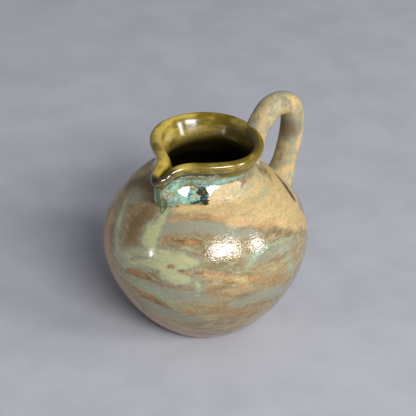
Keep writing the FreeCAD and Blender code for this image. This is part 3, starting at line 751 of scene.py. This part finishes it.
def smooth_with_edges(mesh, rims):
    """Turns a closed mesh's faces outwards and smooths them, apart from its rims' edges."""
    sheet = bmesh.new()
    sheet.from_mesh(mesh)
    bmesh.ops.recalc_face_normals(sheet, faces=sheet.faces)
    sheet.verts.ensure_lookup_table()
    for face in sheet.faces:
        face.smooth = True
    for rim in rims:
        corners = [sheet.verts[i] for i in rim.tolist()]
        for corner, following in zip(corners, corners[1:] + corners[:1]):
            sheet.edges.get((corner, following)).smooth = False
    sheet.to_mesh(mesh)
    sheet.free()


def coat(name, skin, start, end, thickness):
    """A coat over the clay's skin between two of its rows, closed at its ends."""
    rows = slice(skin.row[start], skin.row[end] + 1)
    clay = skin.points[rows]
    outward = skin.outward[rows]
    glazed = clay + outward * thickness
    count, around = clay.shape[:2]
    under = sorted({*range(0, count, UNDERSIDE_STEP), count - 1}, reverse=True)
    steps = np.linalg.norm(np.diff(skin.points, axis=0), axis=2)
    way = np.concatenate([np.zeros((1, around)), np.cumsum(steps, axis=0)])
    way = (way - way[skin.row["under_lip"]])[rows] / MM
    points = np.concatenate([glazed, clay[under]]).reshape(-1, 3)
    ways = np.concatenate([way, way[under]]).ravel()
    lifts = np.concatenate([outward, 0 * clay[under]]).reshape(-1, 3)
    grid = np.arange(len(points)).reshape(-1, around)
    to_floor = end == "floor"
    if to_floor:
        points = np.concatenate([points, [glazed[-1].mean(axis=0), clay[-1].mean(axis=0)]])
        ways = np.append(ways, [way.max(), way.max()])
        lifts = np.concatenate([lifts, [(0, 0, 1), (0, 0, 0)]])
    piece = new_piece(name, points, coat_faces(grid, count, to_floor))
    smooth_with_edges(piece.data, grid[[0]] if to_floor else grid[[0, count - 1]])
    store(piece.data, "outward", lifts, "FLOAT_VECTOR")
    store(piece.data, "past_lip", ways)
    for kind, depth in brushed_depths(points, skin).items():
        store(piece.data, kind, depth)
    return piece


def drifting(place, seed, scale, detail):
    """Slow noise from 0 to 1, with about this many swells to the metre."""
    return place.node(
        "ShaderNodeTexNoise", {"Vector": place, "W": seed, "Scale": scale, "Detail": detail},
        noise_dimensions="4D")


def kept_value(start, name, kind="FLOAT"):
    """What is stored for each point under a name, read in Geometry Nodes."""
    return start.node("GeometryNodeInputNamedAttribute", {"Name": name}, data_type=kind)


def pushed(shape, outward, lift):
    """The shape with each point pushed along its outward direction."""
    offset = outward.node("ShaderNodeVectorMath", {0: outward, "Scale": lift}, operation="SCALE")
    return shape.node("GeometryNodeSetPosition", {"Geometry": shape, "Offset": offset})


def rod_along(path, sides, radius):
    """A round rod along a curve, closed at both ends."""
    section = path.node("GeometryNodeCurvePrimitiveCircle", {"Resolution": sides, "Radius": 1.0})
    return path.node("GeometryNodeCurveToMesh", {
        "Curve": path, "Profile Curve": section, "Scale": radius, "Fill Caps": True})


def relief_tree(material):
    """Throwing rings and an uneven surface, pushed along the stored outward directions."""
    wires, finish = new_tree("Thrown relief", (
        ("Ring depth", "Float"), ("Ring spacing", "Float"), ("Unevenness", "Float"),
        ("Seed", "Int")))
    shape = wires["Geometry"]
    place = shape.node("GeometryNodeInputPosition")
    height = place.node("ShaderNodeSeparateXYZ", {0: place}, out=2)
    drift = drifting(place, wires["Seed"] * 3.7, 55.0, 2.0)
    wander = drifting(place, wires["Seed"] * 1.3, 20.0, 1.0)
    rings = height.sum("SINE", (height / wires["Ring spacing"] + wander * 1.5) * math.tau)
    lift = rings * wires["Ring depth"] + (drift - 0.5) * wires["Unevenness"]
    return finish(pushed(shape, kept_value(place, "outward", "FLOAT_VECTOR"), lift), material)


def sweep_tree(material):
    """An oval rod along the handle's centre line, spread at its foot and flared at both ends."""
    wires, finish = new_tree("Pulled handle", (
        ("Half depth", "Float"), ("Half width", "Float"), ("Foot half width", "Float"),
        ("Upper flare", "Float"), ("Lower flare", "Float"), ("Upper wad", "Float"),
        ("Lower wad", "Float"), ("Unevenness", "Float"), ("Round", "Int"), ("Seed", "Int")))
    path = wires["Geometry"].node("GeometryNodeMeshToCurve", {0: wires["Geometry"]})
    share = path.node("GeometryNodeSplineParameter")
    upper = 1 - share / wires["Upper wad"]
    upper = upper.sum("MAXIMUM", upper, 0.0) ** FLARE_CURVE
    lower = (share - wires["Lower wad"]) / (1 - wires["Lower wad"])
    lower = lower.sum("MAXIMUM", lower, 0.0) ** FLARE_CURVE
    flare = upper * wires["Upper flare"] + lower * wires["Lower flare"]
    depth = flare + wires["Half depth"]
    spread = share.node(
        "ShaderNodeMapRange", {0: share, 1: SPREAD_SHARE, 2: 1.0, 3: wires["Half width"],
                               4: wires["Foot half width"]})
    kept = path.node(
        "GeometryNodeStoreNamedAttribute",
        {"Geometry": path, "Name": "ratio", "Value": (spread + flare) / depth},
        data_type="FLOAT", domain="POINT")
    rod = rod_along(kept, wires["Round"], depth)
    place = rod.node("GeometryNodeInputPosition")
    spreads = rod.node(
        "ShaderNodeCombineXYZ", {"X": 1.0, "Y": kept_value(rod, "ratio"), "Z": 1.0})
    oval_place = place.node("ShaderNodeVectorMath", {0: place, 1: spreads}, operation="MULTIPLY")
    oval = rod.node("GeometryNodeSetPosition", {"Geometry": rod, "Position": oval_place})
    drift = drifting(oval_place, wires["Seed"] * 2.1, 60.0, 1.0)
    outward = oval.node("GeometryNodeInputNormal")
    uneven = pushed(oval, outward, (drift - 0.5) * wires["Unevenness"])
    return finish(uneven.node("GeometryNodeSetShadeSmooth", {"Geometry": uneven}), material)


def bead_tree(material):
    """A bead of glaze along a line, as thick as the line's stored half widths."""
    wires, finish = new_tree("Glaze bead", (("Round", "Int"),))
    path = wires["Geometry"].node("GeometryNodeMeshToCurve", {0: wires["Geometry"]})
    rod = rod_along(path, wires["Round"], kept_value(path, "half_width"))
    return finish(rod.node("GeometryNodeSetShadeSmooth", {"Geometry": rod}), material)


class Finish:
    """A material whose shader takes a few wires and plain numbers."""

    def __init__(self, name, **constants):
        self.material = bpy.data.materials.new(name)
        self.material.use_nodes = True
        self.tree = self.material.node_tree
        self.shader = self.tree.nodes["Principled BSDF"]
        self.start = Wire(self.tree, None)
        for socket, value in constants.items():
            self.shader.inputs[socket.replace("_", " ")].default_value = value

    def takes(self, socket, wire):
        """Links a wire to one of the shader's sockets."""
        self.tree.links.new(wire.socket, self.shader.inputs[socket])

    def bumped(self, height):
        """A bump from a height in millimetres."""
        bump = height.node("ShaderNodeBump", {"Height": height, "Distance": MM, "Strength": 1.0})
        self.takes("Normal", bump)


def mottled(place, size, detail=3.0, roughness=0.55, seed=0.0):
    """Noise from 0 to 1 whose spots are about this many metres across."""
    return place.node(
        "ShaderNodeTexNoise",
        {"Vector": place, "W": seed, "Scale": 1 / size, "Detail": detail,
         "Roughness": roughness}, noise_dimensions="4D")


def stored(start, name):
    """What is stored for each point under a name, read in a material."""
    return start.node("ShaderNodeAttribute", out=2, attribute_name=name)


def towards(place, way, size):
    """How far a point lies in a direction, counted in lengths of this size."""
    return place.node("ShaderNodeVectorMath", {0: place, 1: way}, out=1,
                      operation="DOT_PRODUCT") / size


def dulled(shade, wear):
    """A colour times a plain share, as a glaze looks where it is pitted or worn."""
    grey = wear.node("ShaderNodeCombineColor", {0: wear, 1: wear, 2: wear})
    return shade.node("ShaderNodeMix", {0: 1.0, 6: shade, 7: grey}, out=2, data_type="RGBA",
                      blend_type="MULTIPLY")


def place_on_piece(start):
    """Where a point is, in the piece's own frame."""
    return start.node("ShaderNodeTexCoord", out=3)


def squeezed(place, times):
    """The same place with its height counted this many times."""
    return place.node("ShaderNodeMapping", {"Vector": place, "Scale": (1.0, 1.0, times)})


def olive_colour(around, paint, past_lip, toward_shade):
    """Amber-olive: golden streaks on the crest and dark where it gathers, with painted shade deep
    inside and on the shaded side's inner wall, and painted light on the other side's inner wall.
    """
    cloud = mottled(around, 16 * MM, 2.0, seed=2.0)
    streak = mottled(around, 3.2 * MM, 3.0, 0.55, seed=17.0)
    shade = (streak + toward_shade * -0.02).ease(0.48, 0.66).blend(paint.olive, paint.olive_thin_and_lit)
    # Painted light and shade: paler inner wall away from the shaded side, darker towards it
    inner = (cloud + toward_shade * -0.1).ease(0.4, 0.6).blend(paint.olive, paint.olive_thin_and_lit)
    shade = past_lip.ease(4.0, 7.0).blend(shade, inner)
    outer = (past_lip + (streak - 0.5) * 4.0).ease(3.4, 0.8, 0.0, 0.85)
    shade = outer.blend(shade, paint.olive_dark_and_shade)
    # Painted shade on the inner wall towards the shaded side
    shaded = past_lip.ease(5.0, 14.0) * toward_shade.ease(-0.1, 0.9, 0.0, 0.8)
    shade = shaded.blend(shade, paint.olive_dark_and_shade)
    # Painted shade: the inside darkens the deeper it goes, sooner on the shaded side
    deep_shade = (past_lip + toward_shade * 3.0).ease(10.0, 23.0)
    return deep_shade.blend(shade, paint.olive_dark_and_shade)


class GlazeGrain:
    """The seeded noises that break up the painted glazes, most of them drawn out by throwing."""

    def __init__(self, start):
        self.place = place_on_piece(start)
        self.around = around = squeezed(self.place, ROUND_THE_WALL)
        self.cloud = mottled(around, 24 * MM, 4.0, seed=1.0)
        self.streak = mottled(around, 6 * MM, 4.0, 0.62, seed=3.0)
        self.fleck = mottled(around, 3.6 * MM, 4.0, 0.65, seed=18.0)
        self.flow = mottled(around, 4.5 * MM, 4.0, 0.6, seed=16.0)
        self.run = mottled(squeezed(self.place, DOWN_THE_WALL), 2.6 * MM, 4.0, 0.65, seed=7.0)
        self.crumble = (mottled(around, 2.2 * MM, 4.0, 0.65, seed=6.0) - 0.5) * 7.0
        self.edge = (mottled(around, 9 * MM, 3.0, seed=5.0) - 0.5) * 9.0 + self.crumble


def ground_colour(grain, paint):
    """The tan ground, broken by thin and thick places, iron brown and grey-green."""
    ground = grain.cloud.ease(0.36, 0.62).blend(paint.ground_dark, paint.ground)
    ground = grain.streak.ease(0.46, 0.66, 0.0, 0.8).blend(ground, paint.ground_light)
    ground = grain.fleck.ease(0.54, 0.66, 0.0, 0.6).blend(ground, paint.russet)
    return grain.fleck.ease(0.45, 0.35, 0.0, 0.6).blend(ground, paint.grey_wash)


def mixed_glazes(grain, paint, poured):
    """The glazes that are more than one colour where they lie, by name."""
    sage = poured.ease(-0.6, 0.8).blend(paint.aqua, paint.sage)
    sage = grain.cloud.ease(0.5, 0.4, 0.0, 0.6).blend(sage, paint.grey_wash)
    sage = grain.streak.ease(0.5, 0.7, 0.0, 0.5).blend(sage, paint.ground_light)
    milky = grain.run.ease(0.4, 0.6).blend(paint.turquoise, paint.turquoise_pale)
    milky = grain.fleck.ease(0.5, 0.62, 0.0, 0.7).blend(milky, paint.sage)
    milky = grain.flow.ease(0.54, 0.62, 0.0, 0.8).blend(milky, paint.olive)
    milky = grain.flow.ease(0.42, 0.34, 0.0, 0.8).blend(milky, paint.ink)
    smear = grain.flow.ease(0.42, 0.58).blend(paint.grey_wash, paint.aqua)
    smear = grain.run.ease(0.52, 0.62, 0.0, 0.7).blend(smear, paint.umber)
    smear = grain.flow.ease(0.6, 0.68, 0.0, 0.7).blend(smear, paint.turquoise_pale)
    pool = grain.fleck.ease(0.52, 0.6, 0.0, 0.8).blend(paint.ink, paint.olive)
    pool = grain.fleck.ease(0.46, 0.38, 0.0, 0.5).blend(pool, paint.turquoise)
    rust = grain.fleck.ease(0.44, 0.56).blend(paint.umber, paint.russet)
    return {"thin_sage": sage, "rust": rust, "milky": milky, "smear": smear, "pool": pool}


def glaze_finish(name, paint):
    """The painted glazes of the vessel, from the foot over the lip to the floor inside."""
    finish = Finish(name, Coat_Roughness=0.04, IOR=1.5)
    start = finish.start
    grain = GlazeGrain(start)
    place, edge = grain.place, grain.edge
    past_lip = stored(start, "past_lip")
    poured = stored(start, "sage") + edge * 0.5
    mixed = mixed_glazes(grain, paint, poured)

    def laid(under, glaze, kind, soft, strength, wide, bend, patchy):
        """One glaze over what is under it, thinner where the streaks run through it."""
        share = (stored(start, kind) + edge * bend + wide).ease(-soft, soft, 0.0, strength)
        if patchy:
            share = share * grain.streak.ease(0.34, 0.62, 1.0 - patchy, 1.0)
        return share.blend(under, mixed[glaze] if glaze in mixed else getattr(paint, glaze))

    shade = ground_colour(grain, paint)
    for layer in LAYERS:
        shade = laid(shade, *layer)
    lipped = (past_lip + grain.crumble * 0.4 + (grain.run - 0.5) * 6.0).ease(-2.6, -1.2)
    lipped = lipped * stored(start, "ink").ease(0.6, -0.4)
    # Painted shade on the mouth's inner wall towards this side, painted light on the far side
    toward_shade = towards(place, SHADED_MOUTH_SIDE, 25 * MM)
    shade = lipped.blend(shade, olive_colour(grain.around, paint, past_lip, toward_shade))
    shade = laid(shade, *TIP_LAYER)

    glassy = poured.ease(-0.5, 1.0, 0.0, 0.7)
    washed = (stored(start, "grey_wash") + edge * 0.8).ease(-1.8, 1.8, 0.0, 0.6)
    even = glassy.sum("MAXIMUM", glassy, washed)
    worn = mottled(place, 1.3 * MM, 4.0, 0.7, seed=4.0).ease(0.3, 0.7, 0.74, 1.05)
    worn = worn * mottled(place, 0.7 * MM, 2.0, 0.6, seed=10.0).ease(0.25, 0.75, 0.88, 1.06)
    finish.takes("Base Color", dulled(shade, worn * (1 - even) + even * 0.91))

    dry = (stored(start, "sand") + edge).ease(-1.5, 1.5)
    pitted = (stored(start, "ink") + edge * 0.9).ease(-0.6, 0.2) * past_lip.ease(-3.0, -4.0)
    wet = (stored(start, "turquoise") + edge * 0.3).ease(-1.2, 0.4) * (1 - pitted)
    wet = wet.sum("MAXIMUM", wet, lipped)
    inside = past_lip.ease(4.0, 8.0)
    matt = dry * (1 - wet) * 0.42 + pitted * 0.8
    finish.takes("Roughness", 0.08 + (grain.fleck - 0.5) * 0.24 + matt + inside * 0.1)
    finish.takes("Coat Weight", wet.sum("MAXIMUM", wet, glassy) * (1 - inside))
    peel = mottled(place, 1.3 * MM, 3.0, 0.6, seed=8.0)
    ripple = mottled(place, 4 * MM, 2.0, seed=9.0)
    calm = past_lip.ease(3.0, 6.0, 1.0, 0.25)
    finish.bumped((peel - 0.5) * (0.14 - wet * 0.11) * calm
                  + (ripple - 0.5) * (0.06 + wet * 0.07) * calm)
    return finish.material


def handle_finish(name, paint):
    """Sand glaze with soft ochre and grey-green tints, with painted shade inside its bend and where
    its root meets the lip.
    """
    finish = Finish(name, IOR=1.38)
    place = place_on_piece(finish.start)
    down = squeezed(place, DOWN_THE_WALL)
    cloud = mottled(place, 10 * MM, 3.0, 0.55, seed=11.0)
    tint = mottled(place, 6 * MM, 4.0, 0.6, seed=12.0)
    streak = mottled(down, 4 * MM, 4.0, 0.6, seed=19.0)
    fine = mottled(place, 1.3 * MM, 4.0, 0.7, seed=13.0)
    shade = cloud.ease(0.38, 0.62).blend(paint.ground_light, paint.sand)
    shade = streak.ease(0.5, 0.7, 0.0, 0.6).blend(shade, paint.ochre_edge)
    shade = tint.ease(0.56, 0.4, 0.0, 0.8).blend(shade, paint.grey_wash)
    shade = tint.ease(0.4, 0.3, 0.0, 0.5).blend(shade, paint.aqua)
    shade = streak.ease(0.47, 0.36, 0.0, 0.6).blend(shade, paint.ground_dark)
    # Painted shade: grey-green and brown inside the bend, brown and ink at the root
    for spot, reach, wide, over, strength in (
            (BEND_SHADE_SPOT, 9.5, 5.5, paint.grey_wash, 0.9), (BEND_SHADE_SPOT, 7.5, 3.0, paint.umber, 0.75),
            (ROOT_SHADE_SPOT, 6.0, 3.0, paint.umber, 0.85), (ROOT_SHADE_SPOT, 4.6, 2.0, paint.ink, 0.8)):
        away = place.node("ShaderNodeVectorMath", {0: place, 1: spot}, out=1,
                          operation="DISTANCE") / MM
        near = (away + (streak - 0.5) * 8.0).ease(reach, wide, 0.0, strength)
        shade = near.blend(shade, over)
    finish.takes("Base Color", dulled(shade, fine.ease(0.3, 0.7, 0.8, 1.0)))
    finish.takes("Roughness", 0.52 + (cloud - 0.5) * 0.3)
    finish.bumped((mottled(place, 1.1 * MM, 3.0, seed=14.0) - 0.5) * 0.1
                  + (mottled(down, 5 * MM, 2.0, seed=15.0) - 0.5) * 0.3)
    return finish.material


def run_finish(name, paint):
    """The thick sage run under the spout, with painted shade along its right side."""
    finish = Finish(name, Coat_Roughness=0.03, Coat_Weight=1.0, IOR=1.5)
    place = place_on_piece(finish.start)
    down = squeezed(place, DOWN_THE_WALL)
    streak = mottled(down, 3 * MM, 2.0, seed=21.0)
    across = towards(place, ACROSS_RUN, MM)
    # Painted shade: darker towards the run's right side
    shade = (across + (streak - 0.5) * 3.0).ease(0.8, -0.6).blend(paint.run_shaded_side, paint.run)
    shade = streak.ease(0.5, 0.66, 0.0, 0.5).blend(shade, paint.aqua)
    finish.takes("Base Color", shade)
    finish.takes("Roughness", 0.12 + (streak - 0.5) * 0.1)
    finish.bumped((mottled(place, 3 * MM, 1.0, seed=22.0) - 0.5) * 0.9)
    return finish.material


def clay_finish(name, paint):
    """Bare stoneware with grog, iron specks and turning marks."""
    finish = Finish(name, IOR=1.45)
    place = place_on_piece(finish.start)
    grain = mottled(place, 0.7 * MM, 3.0, 0.7, seed=31.0)
    cloud = mottled(squeezed(place, ROUND_THE_WALL), 9 * MM, 3.0, seed=32.0)
    shade = cloud.ease(0.35, 0.7).blend(paint.clay, paint.ground_dark)
    shade = grain.ease(0.62, 0.72, 0.0, 0.6).blend(shade, paint.umber)
    finish.takes("Base Color", shade)
    finish.takes("Roughness", 0.78 + (grain - 0.5) * 0.2)
    finish.bumped((grain - 0.5) * 0.12)
    return finish.material


def floor_finish(paint):
    """A plain pale floor with faint clouds."""
    finish = Finish("Studio floor", Roughness=0.85)
    cloud = mottled(place_on_piece(finish.start), 30 * MM, 3.0, seed=41.0)
    darker = tuple(part * 0.9 for part in paint.floor[:3]) + (1.0,)
    finish.takes("Base Color", cloud.ease(0.3, 0.7).blend(paint.floor, darker))
    return finish.material


def settings():
    """The sizes of the clay, the coats and the handle, and the colours."""
    scene = bpy.context.scene
    return scene.jug_clay, scene.jug_coats, scene.jug_handle, scene.jug_paint


def keep_in_wall(piece, skin, depth=1.5 * MM):
    """Draws the hidden ends of the handle out to just under the vessel's skin."""
    outside = skin.points[: skin.row["under_lip"] + 1, 0]
    radii = np.hypot(outside[:, 0], outside[:, 1]) - depth
    for vertex in piece.data.vertices:
        across = math.hypot(vertex.co.x, vertex.co.y)
        nearest = np.interp(vertex.co.z, outside[:, 2], radii)
        if across < nearest:
            vertex.co.x *= nearest / across
            vertex.co.y *= nearest / across
    piece.data.update()


def handle_line(clay, handle, skin):
    """The handle's centre line over +X, from inside the neck over the top into the shoulder."""

    def radius_at(height, start, end):
        """The skin's radius at a height under the handle, between two marked rows."""
        part = skin.points[skin.row[start]: skin.row[end] + 1]
        near = np.argmin(np.abs(np.degrees(np.arctan2(part[0, :, 1], part[0, :, 0]))))
        return np.interp(height, part[:, near, 2], np.hypot(part[:, near, 0], part[:, near, 1]))

    root = clay.joint_height + handle.root_rise
    foot = clay.joint_height - handle.foot_drop
    reach = clay.waist_radius + handle.span
    top = clay.joint_height + clay.neck_rise + clay.lip_rise + handle.rise
    legs = (
        (NECK_LEG_SHARES, radius_at(root, "joint", "waist") - handle.root_sink, root),
        (SHOULDER_LEG_SHARES, radius_at(foot, "base", "joint") - handle.foot_sink, foot),
    )
    points = np.array([
        (mix(radius, reach, out), 0, mix(height, top, rise))
        for shares, radius, height in legs
        for out, rise in shares
    ])
    line = spline_through(points, running_shares(points), np.linspace(0, 1, HANDLE_POINTS))
    down = line[0] - line[FIRST_POINTS]
    down /= np.linalg.norm(down)
    buried = line[0] + down * np.linspace(handle.root_reach, 0, BURIED_POINTS + 1)[:-1, None]
    return np.concatenate([buried, line])


class JugCoatsOperator(bpy.types.Operator):
    """Glaze the vessel: the body, the lip and the inside"""

    bl_idname = "jug.coats"
    bl_label = "Glaze the vessel"

    def execute(self, context):
        clay, coats, _, paint = settings()
        skin = ClaySkin(clay)
        finish = glaze_finish("Painted glaze", paint)
        tree = relief_tree(finish)
        sizes = {
            "Ring depth": coats.ring_depth, "Ring spacing": coats.ring_spacing,
            "Unevenness": coats.unevenness, "Seed": coats.seed,
        }
        for name, start, end, node, slot in (
            ("belly_coat", "base", "under_lip", "body_glaze", "body_glaze"),
            ("lip_coat", "under_lip", "bore", "rim_glaze", "olive_glaze"),
            ("inside_coat", "bore", "floor", "liner_glaze", "olive_glaze"),
        ):
            piece = made_by_nodes(coat(name, skin, start, end, coats.thickness), tree, sizes)
            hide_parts(node)
            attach(piece, "root")
        return {"FINISHED"}


class JugHandleOperator(bpy.types.Operator):
    """Pull the handle with its coat and wads along its centre line"""

    bl_idname = "jug.handle"
    bl_label = "Pull the handle"

    def execute(self, context):
        clay, coats, handle, paint = settings()
        skin = ClaySkin(clay)
        line = handle_line(clay, handle, skin)
        piece = new_piece("handle_coat", line, edges=[(i, i + 1) for i in range(len(line) - 1)])
        sizes = {
            "Half depth": handle.half_depth + coats.thickness,
            "Half width": handle.half_width + coats.thickness,
            "Foot half width": handle.foot_half_width + coats.thickness,
            "Upper flare": handle.upper_flare * FULL_FLARE_SHARE,
            "Lower flare": handle.lower_flare * FULL_FLARE_SHARE,
            "Upper wad": UPPER_WAD_SHARE, "Lower wad": LOWER_WAD_SHARE,
            "Unevenness": handle.unevenness, "Round": HANDLE_SIDES, "Seed": coats.seed,
        }
        made_by_nodes(piece, sweep_tree(handle_finish("Handle glaze", paint)), sizes)
        keep_in_wall(piece, skin)
        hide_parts("handle_glaze", "upper_joint_wad", "lower_joint_wad")
        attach(piece, "root")
        return {"FINISHED"}


class JugRunOperator(bpy.types.Operator):
    """Run a thick bead of glaze down from the tip of the spout"""

    bl_idname = "jug.run"
    bl_label = "Run the glaze"

    def execute(self, context):
        clay, coats, _, paint = settings()
        skin = ClaySkin(clay)
        top = skin.marks["under_lip"]
        places = np.linspace(top, mix(top, skin.marks["shoulder"], RUN_FALL_SHARE), RUN_POINTS)
        steps = np.linspace(0, 1, len(RUN_WIDTH_SHARES))
        shares = np.stack([RUN_WIDTH_SHARES, RUN_STAND_SHARES], axis=1)
        widths, stands = spline_through(shares, steps, np.linspace(0, 1, RUN_POINTS)).T
        out = polar(coats.run_stand, math.degrees(clay.spout_turn))
        line = skin.keel(places) + stands[:, None] * out
        piece = new_piece("spout_run", line, edges=[(i, i + 1) for i in range(len(line) - 1)])
        store(piece.data, "half_width", widths * coats.run_half_width)
        made_by_nodes(piece, bead_tree(run_finish("Sage run", paint)), {"Round": RUN_SIDES})
        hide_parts("spout_glaze_run")
        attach(piece, "root")
        return {"FINISHED"}


class JugClayOperator(bpy.types.Operator):
    """Give the bare stoneware its fired finish"""

    bl_idname = "jug.clay"
    bl_label = "Fire the clay"

    def execute(self, context):
        finish = clay_finish("Bare stoneware", settings()[3])
        for name in ("thrown_body", "spouted_neck", "foot_ring", "loop_handle"):
            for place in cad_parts[name].material_slots:
                place.material = finish
        return {"FINISHED"}


class JugStageOperator(bpy.types.Operator):
    """Set the floor, the soft light and the camera"""

    bl_idname = "jug.stage"
    bl_label = "Set the studio"

    # Window panes and a narrow one at the left: direction from the jug, distance, width and
    # height in metres, watts
    PANES = (
        ((-0.07, -0.757, 0.525), 2.0, 1.0, 0.42, 40.0),
        ((0.49, -0.73, 0.41), 2.0, 0.42, 0.42, 16.0),
        ((-0.975, -0.01, 0.2), 2.0, 0.12, 0.34, 2.6),
    )
    # Bounce from the pale room on the right: direction, distance, width, height, watts
    BOUNCE = ((0.66, -0.40, 0.64), 2.2, 1.8, 1.8, 6.0)
    LIT_POINT = (0.0, 0.0, 0.06)
    ROOM_COLOUR = (0.82, 0.84, 0.9, 1.0)
    ROOM_STRENGTH = 0.25
    FLOOR_HALF = 3.0
    # The photograph's camera: lens in mm, place in metres, and its right, up and backward ways
    LENS = 121.15
    CAMERA = (-0.291184, -0.504345, 0.431391)
    CAMERA_AXES = (
        (0.86469, -0.50230, 0.0), (0.26993, 0.46467, 0.84334), (-0.42361, -0.72923, 0.53738),
    )

    def execute(self, context):
        paint = settings()[3]
        scene = context.scene
        half = self.FLOOR_HALF
        corners = [(-half, -half, 0), (half, -half, 0), (half, half, 0), (-half, half, 0)]
        floor = new_piece("studio_floor", corners, [(0, 1, 2, 3)])
        floor.data.materials.append(floor_finish(paint))
        for number, lit in enumerate((*self.PANES, self.BOUNCE)):
            direction, away, wide, high, watts = lit
            lamp = bpy.data.lights.new(f"studio_light_{number}", "AREA")
            lamp.shape = "RECTANGLE"
            lamp.size, lamp.size_y, lamp.energy = wide, high, watts
            stand = bpy.data.objects.new(lamp.name, lamp)
            stand.location = Vector(direction).normalized() * away + Vector(self.LIT_POINT)
            stand.rotation_mode = "QUATERNION"
            stand.rotation_quaternion = Vector(direction).to_track_quat("Z", "Y")
            stand.visible_camera = False
            stand.visible_glossy = lit is not self.BOUNCE
            context.collection.objects.link(stand)
        world = bpy.data.worlds.new("Soft room")
        world.use_nodes = True
        room = world.node_tree.nodes["Background"].inputs
        room["Color"].default_value = self.ROOM_COLOUR
        room["Strength"].default_value = self.ROOM_STRENGTH
        scene.world = world
        lens = bpy.data.cameras.new("Photograph view")
        lens.lens = self.LENS
        lens.sensor_width = 36.0
        lens.clip_start, lens.clip_end = 0.05, 20.0
        camera = bpy.data.objects.new("Photograph view", lens)
        turn = Matrix(self.CAMERA_AXES).transposed().to_4x4()
        camera.matrix_world = Matrix.Translation(self.CAMERA) @ turn
        context.collection.objects.link(camera)
        scene.camera = camera
        scene.view_settings.view_transform = "Standard"
        return {"FINISHED"}


class JugPanel(bpy.types.Panel):
    """The jug's sizes, colours and steps in the sidebar."""

    bl_idname = "VIEW3D_PT_jug"
    bl_label = "Pinched spout jug"
    bl_space_type = "VIEW_3D"
    bl_region_type = "UI"
    bl_category = "Jug"

    def draw(self, context):
        for group in settings():
            for name in group.bl_rna.properties.keys():
                if name not in ("rna_type", "name"):
                    self.layout.prop(group, name)
        for step in STEPS:
            self.layout.operator(step.bl_idname)


GROUPS = {
    "jug_clay": JugClaySizes, "jug_coats": JugCoatSizes, "jug_handle": JugHandleSizes,
    "jug_paint": JugGlazeColours,
}
STEPS = (
    JugCoatsOperator, JugHandleOperator, JugRunOperator, JugClayOperator, JugStageOperator,
)


def register():
    """Makes the classes and the jug's settings known to Blender."""
    for part in (*GROUPS.values(), *STEPS, JugPanel):
        bpy.utils.register_class(part)
    for name, group in GROUPS.items():
        setattr(bpy.types.Scene, name, PointerProperty(type=group))


def unregister():
    """Takes them away again."""
    for name in GROUPS:
        delattr(bpy.types.Scene, name)
    for part in (JugPanel, *STEPS[::-1], *GROUPS.values()):
        bpy.utils.unregister_class(part)


def main():
    """Makes the jug piece by piece, then the stage."""
    register()
    for step in STEPS:
        family, action = step.bl_idname.split(".")
        getattr(getattr(bpy.ops, family), action)()


if __name__ == "__main__":
    main()
